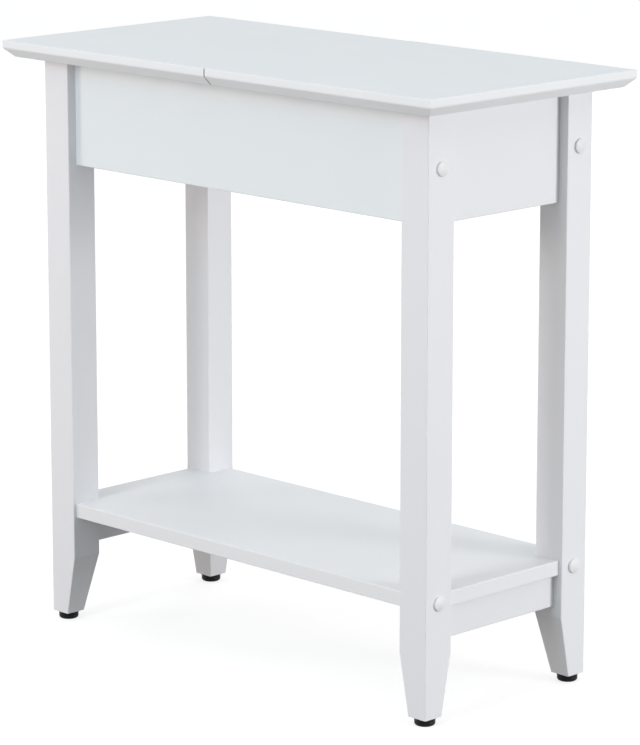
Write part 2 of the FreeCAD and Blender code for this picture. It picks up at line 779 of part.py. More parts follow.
def cup_bore():
    """Blind bore for a cup in the lid's underside."""
    base = V(CUP_X, 0, LID_UNDERSIDE)
    return rod(CUP_DIAMETER + 2 * CUP_PLAY, base, base + V(0, 0, CUP_DEPTH + CUP_PLAY))


def cup_screws():
    """Screws that hold a cup's flange to the lid."""
    return [
        pan_head_screw(
            HINGE_SCREW_DIAMETER,
            HINGE_SCREW_HEAD,
            CUP_SCREW_LENGTH,
            V(CUP_SCREW_X, side * CUP_SCREW_SPACING / 2, LID_UNDERSIDE - FLANGE_THICKNESS),
            V(0, 0, 1),
        )
        for side in (-1, 1)
    ]


def cup_flange():
    """Flange of a cup: a rim round the mouth and two rounded ears for the screws."""
    low = LID_UNDERSIDE - FLANGE_THICKNESS
    high = V(0, 0, FLANGE_THICKNESS)
    rim_base = V(CUP_X, 0, low)
    rim = rod(CUP_DIAMETER + 2 * FLANGE_RIM, rim_base, rim_base + high)
    half_width = FLANGE_WIDTH / 2
    reach = FLANGE_LENGTH / 2 - half_width
    bar = block(CUP_SCREW_X - half_width, CUP_SCREW_X + half_width, -reach, reach, low, LID_UNDERSIDE)
    ends = [V(CUP_SCREW_X, side * reach, low) for side in (-1, 1)]
    return rim.fuse([bar] + [rod(FLANGE_WIDTH, end, end + high) for end in ends]).removeSplitter()


def hinge_cup():
    """Cup let into the lid, with two cheeks that hold the pins. Its rim is open towards the seam."""
    base = V(CUP_X, 0, LID_UNDERSIDE)
    mouth = V(CUP_X, 0, LID_UNDERSIDE - FLANGE_THICKNESS)
    floor = V(0, 0, CUP_DEPTH - CUP_WALL)
    bowl = rod(CUP_DIAMETER, base, base + V(0, 0, CUP_DEPTH)).fuse(cup_flange())
    hollow = rod(CUP_DIAMETER - 2 * CUP_WALL, mouth, base + floor)
    cheek_in = CUP_CHEEK_SPAN / 2
    cheek_out = cheek_in + CUP_CHEEK_THICKNESS
    near = CUP_X - CUP_DIAMETER / 2
    ceiling = LID_UNDERSIDE + CUP_DEPTH - CUP_WALL / 2
    cheeks = [
        block(near, near + CUP_CHEEK_REACH, low, high, LID_UNDERSIDE, ceiling)
        for low, high in ((-cheek_out, -cheek_in), (cheek_in, cheek_out))
    ]
    inside_bowl = rod(CUP_DIAMETER - CUP_WALL, base, base + V(0, 0, CUP_DEPTH - CUP_WALL / 2))
    body = bowl.cut(hollow).fuse([cheek.common(inside_bowl) for cheek in cheeks]).removeSplitter()
    rim_gap = block(0, near + CUP_WALL + FLANGE_RIM, -cheek_out, cheek_out, mouth.z, LID_UNDERSIDE)
    guide_hole = hinge_pin(GUIDE_CUP_PIVOT, GUIDE_PIN_RADIUS + GUIDE_PIN_PLAY, CUP_DIAMETER / 2)
    return body.cut([rim_gap, hinge_cup_pin(), guide_hole] + cup_screws())


def plate_height(drop):
    """Height of a place on the mounting plate, below the lid's underside."""
    return LID_UNDERSIDE - drop


def plate_screws():
    """Screws that hold a mounting plate to the divider."""
    return [
        pan_head_screw(
            HINGE_SCREW_DIAMETER,
            HINGE_SCREW_HEAD,
            PLATE_SCREW_LENGTH,
            V(PLATE_FACE_X, side * PLATE_SCREW_SPACING / 2, plate_height(PLATE_DROP)),
            V(-1, 0, 0),
        )
        for side in (-1, 1)
    ]


def arm_screws():
    """Screws that hold an arm on its mounting plate."""
    seats = [V(RAIL_BAR_FACE_X + ARM_THICKNESS, 0, plate_height(drop)) for drop in ARM_SCREW_DROPS]
    return [
        pan_head_screw(ARM_SCREW_DIAMETER, ARM_SCREW_HEAD, ARM_SCREW_LENGTH, seat, V(-1, 0, 0))
        for seat in seats
    ]


def hinge_mounting_plate():
    """Winged plate on the divider with a raised bar that the arm sits on."""
    face = DIVIDER_THICKNESS / 2
    middle = plate_height(PLATE_DROP)
    half_width = PLATE_WIDTH / 2
    reach = PLATE_LENGTH / 2 - half_width
    wing = block(face, PLATE_FACE_X, -reach, reach, middle - half_width, middle + half_width)
    ends = [V(face, side * reach, middle) for side in (-1, 1)]
    rounded = [rod(PLATE_WIDTH, end, end + V(PLATE_THICKNESS, 0, 0)) for end in ends]
    half_bar = RAIL_BAR_WIDTH / 2
    bar = block(
        face, RAIL_BAR_FACE_X, -half_bar, half_bar, LID_UNDERSIDE + ARM_BOTTOM, LID_UNDERSIDE + ARM_SHOULDER
    )
    body = wing.fuse(rounded + [bar]).removeSplitter()
    return body.cut(plate_screws() + arm_screws())


def hinge_arm():
    """Cranked arm: a channel over the mounting plate's bar, with two ears for the pins."""
    back = PLATE_FACE_X + FIT
    front = RAIL_BAR_FACE_X + ARM_THICKNESS
    low_ear = CARRIER_ARM_PIVOT[0] + EYE_RADIUS
    outline = [
        (back, ARM_BOTTOM),
        (front, ARM_BOTTOM),
        (front, ARM_SHOULDER),
        (low_ear, CARRIER_ARM_PIVOT[1]),
        (GUIDE_ARM_PIVOT[0] + EYE_RADIUS, GUIDE_ARM_PIVOT[1]),
        (GUIDE_ARM_PIVOT[0] - EYE_RADIUS, GUIDE_ARM_PIVOT[1]),
        (back, ARM_THROAT),
    ]
    points = [pivot(place, -ARM_WIDTH / 2) for place in outline]
    body = Part.Face(Part.makePolygon(points + points[:1])).extrude(V(0, ARM_WIDTH, 0))
    ears = [hinge_pin(place, EYE_RADIUS, ARM_WIDTH) for place in (CARRIER_ARM_PIVOT, GUIDE_ARM_PIVOT)]
    body = body.fuse(ears).removeSplitter()
    half = ARM_WIDTH / 2 - ARM_THICKNESS
    shoulder = LID_UNDERSIDE + ARM_SHOULDER
    bottom = LID_UNDERSIDE + ARM_BOTTOM
    behind_web = block(0, RAIL_BAR_FACE_X, -half, half, bottom, shoulder)
    between_ears = block(0, 2 * CUP_X, -half, half, shoulder, LID_UNDERSIDE)
    return body.cut([behind_web, between_ears] + hinge_arm_pins() + arm_screws())


def divider():
    """Upright board under the seam; it closes the storage box and carries the hinges."""
    half = DIVIDER_THICKNESS / 2
    board = block(-half, half, -APRON_INNER_Y, APRON_INNER_Y, BOTTOM_TOP, FRAME_TOP - DIVIDER_DROP)
    cuts = []
    for pin in divider_dowels():
        cuts += on_sides(pin)
    for screw in plate_screws():
        cuts += at_hinges(screw)
    return board.cut(cuts)


def export(name, shapes):
    """Write one node; several solids of one node go in a compound."""
    solids = shapes if isinstance(shapes, list) else [shapes]
    body = solids[0] if len(solids) == 1 else Part.makeCompound(solids)
    body.exportStep(f"parts/{name}.step")


def all_nodes():
    """Every node of the table by name."""
    corner_leg = leg()
    nodes = {f"leg_{name}": mirrored(corner_leg, *sides) for name, sides in CORNERS.items()}
    nodes["rear_apron"] = rear_apron()
    nodes["front_apron"] = mirrored(nodes["rear_apron"], 1, -1)
    nodes["right_end_apron"] = right_end_apron()
    nodes["left_end_apron"] = mirrored(nodes["right_end_apron"], -1, 1)
    nodes["right_lower_rail"] = right_lower_rail()
    nodes["left_lower_rail"] = mirrored(nodes["right_lower_rail"], -1, 1)
    nodes["shelf_board"] = shelf_board()
    nodes["box_bottom_panel"] = box_bottom_panel()
    nodes["divider"] = divider()
    nodes["top_cleats"] = top_cleats()
    nodes["fixed_top"] = fixed_top()
    nodes["lift_lid"] = lift_lid()
    nodes["lid_bumpers"] = lid_bumpers()
    nodes["connector_bolts"] = [part for z in bolt_lines() for part in on_corners(connector_bolt(z))]
    nodes["bolt_caps"] = [part for z in bolt_lines() for part in on_corners(bolt_cap(z))]
    nodes["barrel_nuts"] = barrel_nuts()
    nodes["apron_dowels"] = [part for pin in long_dowels() for part in on_corners(pin)]
    nodes["end_frame_dowels"] = [part for pin in end_dowels() for part in on_corners(pin)]
    nodes["divider_dowels"] = [part for pin in divider_dowels() for part in on_sides(pin)]
    nodes["top_screws"] = top_screws()
    nodes["bottom_screws"] = bottom_screw_set()
    nodes["hinge_mounting_plates"] = at_hinges(hinge_mounting_plate())
    nodes["hinge_plate_screws"] = [part for screw in plate_screws() for part in at_hinges(screw)]
    nodes["hinge_arms"] = at_hinges(hinge_arm())
    nodes["hinge_arm_screws"] = [part for screw in arm_screws() for part in at_hinges(screw)]
    nodes["hinge_arm_pins"] = [part for pin in hinge_arm_pins() for part in at_hinges(pin)]
    nodes["hinge_outer_links"] = at_hinges(hinge_outer_link())
    nodes["hinge_inner_links"] = at_hinges(hinge_inner_link())
    nodes["hinge_guide_pins"] = at_hinges(hinge_guide_pin())
    nodes["hinge_cups"] = at_hinges(hinge_cup())
    nodes["hinge_cup_screws"] = [part for screw in cup_screws() for part in at_hinges(screw)]
    nodes["hinge_cup_pins"] = at_hinges(hinge_cup_pin())
    nodes["glides"] = on_corners(glide())
    nodes["glide_nails"] = on_corners(glide_nail())
    return nodes


os.makedirs("parts", exist_ok=True)
for node, shape in all_nodes().items():
    export(node, shape)
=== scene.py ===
import math
import bpy
from mathutils import Matrix, Vector


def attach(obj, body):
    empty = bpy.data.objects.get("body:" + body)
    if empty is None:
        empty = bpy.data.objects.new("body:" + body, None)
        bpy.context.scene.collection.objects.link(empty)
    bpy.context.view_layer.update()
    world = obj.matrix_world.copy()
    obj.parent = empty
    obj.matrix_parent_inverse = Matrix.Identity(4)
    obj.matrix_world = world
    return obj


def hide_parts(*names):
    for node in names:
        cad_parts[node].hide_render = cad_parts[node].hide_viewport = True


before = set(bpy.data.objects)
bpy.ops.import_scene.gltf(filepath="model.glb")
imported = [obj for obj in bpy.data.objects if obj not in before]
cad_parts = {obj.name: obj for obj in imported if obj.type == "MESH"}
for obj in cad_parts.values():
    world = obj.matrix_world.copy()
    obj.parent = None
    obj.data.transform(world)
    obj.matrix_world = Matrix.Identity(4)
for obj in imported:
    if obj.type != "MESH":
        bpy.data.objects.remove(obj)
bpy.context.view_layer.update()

# Lift top end table. Metres, Z up, front towards -Y, the lid on the +X side.

# Colours of the finishes, linear; the shelf's white also holds painted light
TOP_WHITE = (0.78, 0.797, 0.815, 1)
APRON_WHITE = (0.75, 0.797, 0.815, 1)
LEG_WHITE = (0.76, 0.77, 0.795, 1)
# The shelf is the same paint as the top and aprons, made lighter: painted light, for the light that the
# box above keeps off it
SHELF_WHITE_PAINTED_LIGHT = (0.825, 0.837, 0.855, 1)
PANEL_WHITE = (0.68, 0.68, 0.67, 1)
CAP_WHITE = (0.77, 0.775, 0.79, 1)
WOOD_LIGHT = (0.56, 0.38, 0.21, 1)
WOOD_DARK = (0.36, 0.21, 0.10, 1)
ZINC = (0.58, 0.60, 0.62, 1)
NICKEL = (0.66, 0.65, 0.62, 1)
GLIDE_BLACK = (0.007, 0.007, 0.0075, 1)
BUMPER_CLEAR = (0.80, 0.82, 0.82, 1)

# Noise of the finishes: lumps in a metre, or in a metre along each axis
ORANGE_PEEL = 420
LONG_WAVE = 24
PAINT_CLOUD = 5
GRAIN_RINGS = (6, 170, 170)
GRAIN_PORES = (60, 1500, 1500)
DRAWN_LINES = (300, 4000, 300)
PLATING_CLOUD = 180
MOULD_TEXTURE = 1600
MOULD_CLOUD = 120

# How much the growth rings wander
RING_WANDER = 0.6

# Nearly all of a noise lies between these two values
NOISE_LOW = 0.3
NOISE_HIGH = 0.7
# Values of the ring noise at which late wood starts and is full
LATE_WOOD_LOW = 0.42
LATE_WOOD_HIGH = 0.62

# Least and greatest roughness of bare wood, and the darkest shade of plating and of plastic
WOOD_SMOOTHEST = 0.58
WOOD_ROUGHEST = 0.8
PLATING_DARKEST = 0.88
MOULD_DARKEST = 0.95

# Depth of each bump
WAVE_DEPTH = 0.001
PEEL_DEPTH = 0.0002
PORE_DEPTH = 0.0003
LINE_DEPTH = 0.0001
MOULD_DEPTH = 0.0001


# Shader node groups

def node(tree, kind, links=None, **values):
    """Adds a node, sets its properties or input values by name, and links its inputs."""
    made = tree.nodes.new(kind)
    for key, value in values.items():
        if hasattr(made, key):
            setattr(made, key, value)
        else:
            made.inputs[key.replace("_", " ")].default_value = value
    for key, source in (links or {}).items():
        if isinstance(source, bpy.types.NodeSocket):
            tree.links.new(source, made.inputs[key])
        else:
            made.inputs[key].default_value = source
    return made


def new_group(name, inputs):
    """Empty group with these number inputs. Returns the group and what its inputs give."""
    group = bpy.data.node_groups.new(name, "ShaderNodeTree")
    for label, value in inputs.items():
        socket = group.interface.new_socket(name=label, in_out="INPUT", socket_type="NodeSocketFloat")
        socket.default_value = value
    return group, group.nodes.new("NodeGroupInput").outputs


def put_out(group, mask_name, mask, rough, normal):
    """Gives the group its outputs: a mask or shade, a roughness and a normal."""
    results = {mask_name: mask, "Roughness": rough, "Normal": normal}
    for label in results:
        kind = "NodeSocketVector" if label == "Normal" else "NodeSocketFloat"
        group.interface.new_socket(name=label, in_out="OUTPUT", socket_type=kind)
    node(group, "NodeGroupOutput", results)
    return group


def noise(tree, scale, detail, distortion=0.0):
    """Value of a noise over the piece; scale is one number, or one for each axis."""
    place = tree.nodes.new("ShaderNodeTexCoord").outputs["Object"]
    if isinstance(scale, tuple):
        place = node(tree, "ShaderNodeMapping", {"Vector": place}, Scale=scale).outputs["Vector"]
        scale = 1
    texture = node(
        tree, "ShaderNodeTexNoise", {"Vector": place}, Scale=scale, Detail=detail, Distortion=distortion
    )
    return texture.outputs["Fac"]


def spread(tree, value, low, high, start=NOISE_LOW, end=NOISE_HIGH):
    """Takes a value that runs from start to end to the range from low to high."""
    return node(
        tree,
        "ShaderNodeMapRange",
        {"Value": value, "To Min": low, "To Max": high},
        From_Min=start,
        From_Max=end,
    ).outputs["Result"]


def bumped(tree, height, strength, depth, under=None):
    """Normal of a bump, which lies over another bump's normal where one is given."""
    links = {"Height": height, "Strength": strength}
    if under is not None:
        links["Normal"] = under
    return node(tree, "ShaderNodeBump", links, Distance=depth).outputs["Normal"]


def paint_film_group():
    """Sprayed satin paint: soft orange peel, long waves, uneven roughness, and painted shade on upright
    faces.
    """
    group, given = new_group(
        "paint_film",
        {
            "Peel": 0.1, "Wave": 0.01, "Smoothest": 0.42, "Roughest": 0.48,
            "Shade Low": 0.99, "Shade High": 1.0, "Edge Shade": 1.0,
        },
    )
    peel = noise(group, ORANGE_PEEL, 2)
    wave = noise(group, LONG_WAVE, 1)
    clouded = spread(group, noise(group, PAINT_CLOUD, 3), given["Shade Low"], given["Shade High"])
    # Painted shade: the more upright a face, the more Upright Painted Shade darkens it
    facing = group.nodes.new("ShaderNodeNewGeometry").outputs["Normal"]
    upright = node(group, "ShaderNodeSeparateXYZ", {"Vector": facing}).outputs["Z"]
    flatness = node(group, "ShaderNodeMath", {0: upright}, operation="ABSOLUTE").outputs["Value"]
    upright_painted_shade = spread(group, flatness, given["Edge Shade"], 1.0, 0.0, 1.0)
    shade = node(group, "ShaderNodeMath", {0: clouded, 1: upright_painted_shade}, operation="MULTIPLY").outputs["Value"]
    rough = spread(group, wave, given["Smoothest"], given["Roughest"])
    long_bump = bumped(group, wave, given["Wave"], WAVE_DEPTH)
    fine_bump = bumped(group, peel, given["Peel"], PEEL_DEPTH, long_bump)
    return put_out(group, "Shade", shade, rough, fine_bump)


def wood_grain_group():
    """Straight grain along X: early and late wood, and fine pores."""
    group, given = new_group("wood_grain", {"Pores": 0.3})
    rings = noise(group, GRAIN_RINGS, 3, RING_WANDER)
    pores = noise(group, GRAIN_PORES, 2)
    late = spread(group, rings, 0.0, 1.0, LATE_WOOD_LOW, LATE_WOOD_HIGH)
    rough = spread(group, pores, WOOD_SMOOTHEST, WOOD_ROUGHEST)
    normal = bumped(group, pores, given["Pores"], PORE_DEPTH)
    return put_out(group, "Late Wood", late, rough, normal)


def plated_metal_group():
    """Plated pressed steel: fine drawn lines and cloudy plating."""
    group, given = new_group("plated_metal", {"Lines": 0.2, "Smoothest": 0.22, "Roughest": 0.38})
    lines = noise(group, DRAWN_LINES, 2)
    cloud = noise(group, PLATING_CLOUD, 3)
    shade = spread(group, cloud, PLATING_DARKEST, 1.0)
    rough = spread(group, cloud, given["Smoothest"], given["Roughest"])
    normal = bumped(group, lines, given["Lines"], LINE_DEPTH)
    return put_out(group, "Shade", shade, rough, normal)


def moulded_group():
    """Moulded plastic or rubber: an even spark-eroded texture."""
    group, given = new_group("moulded_skin", {"Texture": 0.2, "Smoothest": 0.3, "Roughest": 0.42})
    grain = noise(group, MOULD_TEXTURE, 2)
    cloud = noise(group, MOULD_CLOUD, 2)
    shade = spread(group, cloud, MOULD_DARKEST, 1.0)
    rough = spread(group, cloud, given["Smoothest"], given["Roughest"])
    normal = bumped(group, grain, given["Texture"], MOULD_DEPTH)
    return put_out(group, "Shade", shade, rough, normal)


GROUPS = {
    "paint": paint_film_group(),
    "wood": wood_grain_group(),
    "metal": plated_metal_group(),
    "moulded": moulded_group(),
}


# Materials

# Sockets of the colour Mix node, which has several of each name
MIX_SHARE = 0
MIX_FIRST = 6
MIX_SECOND = 7
MIX_COLOUR = 2


def finish_material(name, kind, colour, settings=None, **shader_values):
    """Principled material whose colour, roughness and normal come from one of the groups."""
    material = bpy.data.materials.new(name)
    material.use_nodes = True
    material.diffuse_color = colour
    tree = material.node_tree
    shader = tree.nodes["Principled BSDF"]
    for key, value in shader_values.items():
        shader.inputs[key.replace("_", " ")].default_value = value
    effect = tree.nodes.new("ShaderNodeGroup")
    effect.node_tree = GROUPS[kind]
    for key, value in (settings or {}).items():
        effect.inputs[key].default_value = value
    tree.links.new(effect.outputs["Roughness"], shader.inputs["Roughness"])
    tree.links.new(effect.outputs["Normal"], shader.inputs["Normal"])
    mix = node(tree, "ShaderNodeMix", data_type="RGBA")
    mix.inputs[MIX_FIRST].default_value = colour
    if kind == "wood":
        tree.links.new(effect.outputs["Late Wood"], mix.inputs[MIX_SHARE])
        mix.inputs[MIX_SECOND].default_value = WOOD_DARK
    else:
        mix.blend_type = "MULTIPLY"
        mix.inputs[MIX_SHARE].default_value = 1
        tree.links.new(effect.outputs["Shade"], mix.inputs[MIX_SECOND])
    tree.links.new(mix.outputs[MIX_COLOUR], shader.inputs["Base Color"])
    return material


MATERIALS = {
    "top": finish_material("top_white_satin", "paint", TOP_WHITE, {"Peel": 0.18, "Wave": 0.015}),
    "apron": finish_material("apron_white_satin", "paint", APRON_WHITE, {"Peel": 0.2, "Wave": 0.02}),
    "leg": finish_material("leg_white_satin", "paint", LEG_WHITE, {"Peel": 0.24, "Wave": 0.025}),
    # The shelf's upright faces get painted shade, so its painted light stays on the flat faces
    "shelf": finish_material(
        "shelf_satin_painted_light", "paint", SHELF_WHITE_PAINTED_LIGHT, {"Peel": 0.18, "Wave": 0.015, "Edge Shade": 0.935}
    ),
    "panel": finish_material(
        "thin_panel_white",
        "paint",
        PANEL_WHITE,
        {"Peel": 0.4, "Wave": 0.2, "Smoothest": 0.5, "Roughest": 0.62},
    ),
    "wood": finish_material("bare_softwood", "wood", WOOD_LIGHT),
    "zinc": finish_material("zinc_plate", "metal", ZINC, Metallic=1.0),
    "nickel": finish_material(
        "nickel_plate", "metal", NICKEL, {"Smoothest": 0.16, "Roughest": 0.28}, Metallic=1.0
    ),
    "cap": finish_material(
        "cap_white_plastic", "moulded", CAP_WHITE, {"Smoothest": 0.46, "Roughest": 0.54}
    ),
    "glide": finish_material(
        "glide_black_plastic",
        "moulded",
        GLIDE_BLACK,
        {"Texture": 0.5, "Roughest": 0.5},
        Specular_IOR_Level=0.14,
    ),
    "bumper": finish_material("bumper_clear", "moulded", BUMPER_CLEAR, Transmission_Weight=0.6),
}

FINISH_OF = {
    "top": ["fixed_top", "lift_lid"],
    "apron": ["front_apron", "rear_apron"],
    "leg": [
        "leg_front_left", "leg_front_right", "leg_rear_left", "leg_rear_right", "left_lower_rail",
        "right_lower_rail", "left_end_apron", "right_end_apron", "divider",
    ],
    "shelf": ["shelf_board"],
    "panel": ["box_bottom_panel"],
    "wood": ["top_cleats", "apron_dowels", "end_frame_dowels", "divider_dowels"],
    "zinc": ["connector_bolts", "barrel_nuts", "top_screws", "bottom_screws", "glide_nails"],
    "nickel": [
        "hinge_mounting_plates", "hinge_plate_screws", "hinge_arms", "hinge_arm_screws", "hinge_arm_pins",
        "hinge_outer_links", "hinge_inner_links", "hinge_guide_pins", "hinge_cups", "hinge_cup_screws",
        "hinge_cup_pins",
    ],
    "cap": ["bolt_caps"],
    "glide": ["glides"],
    "bumper": ["lid_bumpers"],
}

for finish, names in FINISH_OF.items():
    for name in names:
        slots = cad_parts[name].data.materials
        slots.clear()
        slots.append(MATERIALS[finish])


# Working on a mesh

# Points nearer than this are one
NEAR = 1e-6
# Faces are picked by a direction; this is the least cosine between it and a face's normal
FACING = 0.9
# Edges with a smaller angle are smooth
SMOOTH_ANGLE = math.radians(30)


def pick(piece):
    """Selects this piece alone, to work on."""
    bpy.ops.object.select_all(action="DESELECT")
    piece.select_set(True)
    bpy.context.view_layer.objects.active = piece


def remove(piece):
    pick(piece)
    bpy.ops.object.delete()


def apply_modifier(piece, modifier):
    pick(piece)
    bpy.ops.object.modifier_apply(modifier=modifier.name)


def select_only(piece, wanted):
    """Goes into edit mode with only the faces selected for which wanted(face) holds."""
    bpy.ops.object.mode_set(mode="OBJECT")
    pick(piece)
    bpy.ops.object.mode_set(mode="EDIT")
    bpy.ops.mesh.select_mode(type="FACE")
    bpy.ops.mesh.select_all(action="DESELECT")
    bpy.ops.object.mode_set(mode="OBJECT")
    for face in piece.data.polygons:
        face.select = wanted(face)
    bpy.ops.object.mode_set(mode="EDIT")


def joined_by_boolean(piece, other, operation):
    """Cuts other from piece, or unites them, and removes other."""
    modifier = piece.modifiers.new(operation.lower(), "BOOLEAN")
    modifier.operation = operation
    modifier.object = other
    apply_modifier(piece, modifier)
    remove(other)


def drawn_line(name, points):
    """New object with a line through (across, height) points over the X axis; stays in edit mode."""
    bpy.ops.object.select_all(action="DESELECT")
    bpy.ops.mesh.primitive_plane_add(size=1)
    line = bpy.context.object
    line.name = name
    bpy.ops.object.mode_set(mode="EDIT")
    bpy.ops.mesh.select_mode(type="VERT")
    bpy.ops.mesh.merge(type="CENTER")
    last = Vector((0, 0, 0))
    for number, (across, height) in enumerate(points):
        place = Vector((across, 0, height))
        if number == 0:
            bpy.ops.transform.translate(value=place)
        else:
            bpy.ops.mesh.extrude_vertices_move(TRANSFORM_OT_translate={"value": place - last})
        last = place
    bpy.ops.mesh.select_all(action="SELECT")
    return line


def turned(name, outline, steps):
    """Solid turned about Z from an outline that starts and ends on the axis, or that is closed."""
    piece = drawn_line(name, outline)
    bpy.ops.mesh.spin(steps=steps, angle=math.tau, center=(0, 0, 0), axis=(0, 0, 1))
    bpy.ops.mesh.select_all(action="SELECT")
    bpy.ops.mesh.remove_doubles(threshold=NEAR)
    bpy.ops.mesh.normals_make_consistent(inside=False)
    bpy.ops.object.mode_set(mode="OBJECT")
    return piece


# Screws and bolts. Each is modelled once with its seat at nought and its shank down, then copied.

# Steps round a head, and round one turn of a thread
HEAD_STEPS = 24
THREAD_STEPS = 16

# Shape of a pan head, as shares of its radius and height, from the crown to the seat
PAN_HEAD_SHAPE = [(0.0, 1.0), (0.5, 1.0), (0.76, 0.9), (0.92, 0.68), (1.0, 0.38), (1.0, 0.06), (0.96, 0.0)]
# Shape of a thread over one turn, as (share of the ridge, share of the pitch)
THREAD_SHAPE = [(0.0, 0.0), (0.0, 0.35), (1.0, 0.62), (1.0, 0.72), (0.0, 1.0)]

# Wood screws: core, neck under the head and point as shares of the shank, run-out as a share of the
# pitch, and the upright rim of a countersunk head
CORE_SHARE = 0.7
NECK_SHARE = 0.86
TIP_SHARE = 0.8
RUN_OUT_SHARE = 0.3
HEAD_RIM = 0.0001

# Cross recess: width as a share of the head, depth as a share of a pan head's height, length of each arm
# as a share of the width, and size of the bottom as a share of the mouth
CROSS_SHARE = 0.16
CROSS_DEPTH_SHARE = 0.6
CROSS_ARM_SHARE = 1.1
CROSS_BOTTOM_SHARE = 0.35

# Bolts: core as a share of the shank, room round the thread, and the bevels of the head
BOLT_CORE_SHARE = 0.83
BOLT_ROOM = 0.00002
BOLT_BEVEL = 0.0005

# Each screw stops at its own turn
SCREW_TURN = 0.9


def threaded_rod(name, core, crest, pitch, low, turns, tip):
    """Rod with a right-hand thread that starts at height low; tip is the length of its point."""
    ridge = crest - core
    rod = drawn_line(name, [(core + share * ridge, low + rise * pitch) for share, rise in THREAD_SHAPE])
    bpy.ops.object.mode_set(mode="OBJECT")
    helix = rod.modifiers.new("helix", "SCREW")
    helix.screw_offset = pitch
    helix.iterations = turns
    helix.steps = helix.render_steps = THREAD_STEPS
    helix.use_merge_vertices = True
    helix.merge_threshold = NEAR
    apply_modifier(rod, helix)
    bpy.ops.object.mode_set(mode="EDIT")
    bpy.ops.mesh.select_all(action="SELECT")
    bpy.ops.mesh.remove_doubles(threshold=NEAR)
    bpy.ops.mesh.select_all(action="SELECT")
    bpy.ops.mesh.fill_holes(sides=0)
    bpy.ops.mesh.select_all(action="SELECT")
    bpy.ops.mesh.normals_make_consistent(inside=False)

    # The lower end cap rises to the rod's point
    select_only(rod, lambda face: len(face.vertices) > THREAD_STEPS and face.center.z < low + pitch)
    bpy.ops.mesh.poke(offset=tip + pitch)
    bpy.ops.mesh.select_mode(type="VERT")
    bpy.ops.mesh.select_all(action="DESELECT")
    bpy.ops.object.mode_set(mode="OBJECT")
    point = min(rod.data.vertices, key=lambda vertex: vertex.co.z)
    point.select = True
    step = Vector((0, 0, low - tip)) - point.co
    bpy.ops.object.mode_set(mode="EDIT")
    bpy.ops.transform.translate(value=step)
    bpy.ops.object.mode_set(mode="OBJECT")
    return rod


def cross_cutter(head, width, depth):
    """Tapered cross that sinks depth below the height head."""
    bpy.ops.object.select_all(action="DESELECT")
    bpy.ops.mesh.primitive_cube_add(size=width, location=(0, 0, 0))
    cutter = bpy.context.object
    bpy.ops.object.mode_set(mode="EDIT")
    bpy.ops.transform.resize(value=(1, 1, 2 * depth / width))
    bpy.ops.transform.translate(value=(0, 0, head))
    for direction in (Vector((1, 0, 0)), Vector((-1, 0, 0)), Vector((0, 1, 0)), Vector((0, -1, 0))):
        select_only(
            cutter,
            lambda face: face.normal.dot(direction) > FACING and face.center.dot(direction) < width,
        )
        bpy.ops.mesh.extrude_region_move(
            TRANSFORM_OT_translate={"value": direction * width * CROSS_ARM_SHARE}
        )
    select_only(cutter, lambda face: face.normal.z < -FACING)
    bpy.ops.transform.resize(
        value=(CROSS_BOTTOM_SHARE, CROSS_BOTTOM_SHARE, 1), center_override=(0, 0, head - depth)
    )
    bpy.ops.object.mode_set(mode="OBJECT")
    return cutter


def six_sided_cutter(head, radius, depth):
    """Hexagonal bar that sinks depth below the height head."""
    bpy.ops.object.select_all(action="DESELECT")
    bpy.ops.mesh.primitive_cylinder_add(vertices=6, radius=radius, depth=2 * depth, location=(0, 0, head))
    cutter = bpy.context.object
    bpy.ops.object.transform_apply(location=True, rotation=True, scale=True)
    return cutter


def screw_thread(name, shank, pitch, top, length):
    """Pointed wood screw thread whose run-out lies just under the height top."""
    turns = int((length + top - TIP_SHARE * shank) / pitch)
    low = top - turns * pitch
    return threaded_rod(name, CORE_SHARE * shank / 2, shank / 2, pitch, low, turns - 1, length + low)


def pan_screw(name, shank, head, height, length, pitch):
    """Cross-recessed pan head screw."""
    neck = NECK_SHARE * shank / 2
    outline = [(share * head / 2, rise * height) for share, rise in PAN_HEAD_SHAPE]
    screw = turned(name, outline + [(neck, 0), (neck, -pitch), (0, -pitch)], HEAD_STEPS)
    thread = screw_thread(name + "_thread", shank, pitch, RUN_OUT_SHARE * pitch, length)
    joined_by_boolean(screw, thread, "UNION")
    cross = cross_cutter(height, CROSS_SHARE * head, CROSS_DEPTH_SHARE * height)
    joined_by_boolean(screw, cross, "DIFFERENCE")
    return screw


def countersunk_screw(name, shank, head, length, pitch):
    """Cross-recessed screw with a flat head; its face is at nought."""
    neck = NECK_SHARE * shank / 2
    cone = (head - shank) / 2
    foot = -cone - pitch
    rim = head / 2 - HEAD_RIM
    screw = turned(
        name, [(0, 0), (rim, 0), (rim, -HEAD_RIM), (neck, -cone), (neck, foot), (0, foot)], HEAD_STEPS
    )
    thread = screw_thread(name + "_thread", shank, pitch, RUN_OUT_SHARE * pitch - cone, length)
    joined_by_boolean(screw, thread, "UNION")
    joined_by_boolean(screw, cross_cutter(0, CROSS_SHARE * head, cone), "DIFFERENCE")
    return screw


def socket_bolt(name, shank, head, height, length, threaded, pitch, key, key_depth):
    """Bolt with a flat round head, a six-sided socket, a plain shank and a threaded end."""
    crest = shank / 2 - BOLT_ROOM
    core = BOLT_CORE_SHARE * crest
    rim = head / 2
    crown = rim - BOLT_BEVEL
    plain_end = threaded - length
    core_end = plain_end - pitch / 2
    outline = [
        (0, height), (crown, height), (rim, height - BOLT_BEVEL), (rim, BOLT_BEVEL), (crown, 0),
        (crest, 0), (crest, plain_end), (core, core_end), (0, core_end),
    ]
    bolt = turned(name, outline, HEAD_STEPS)
    turns = round(threaded / pitch)
    thread = threaded_rod(name + "_thread", core, crest, pitch, pitch / 2 - length, turns - 1, pitch / 2)
    joined_by_boolean(bolt, thread, "UNION")
    joined_by_boolean(bolt, six_sided_cutter(height, key, key_depth), "DIFFERENCE")
    return bolt


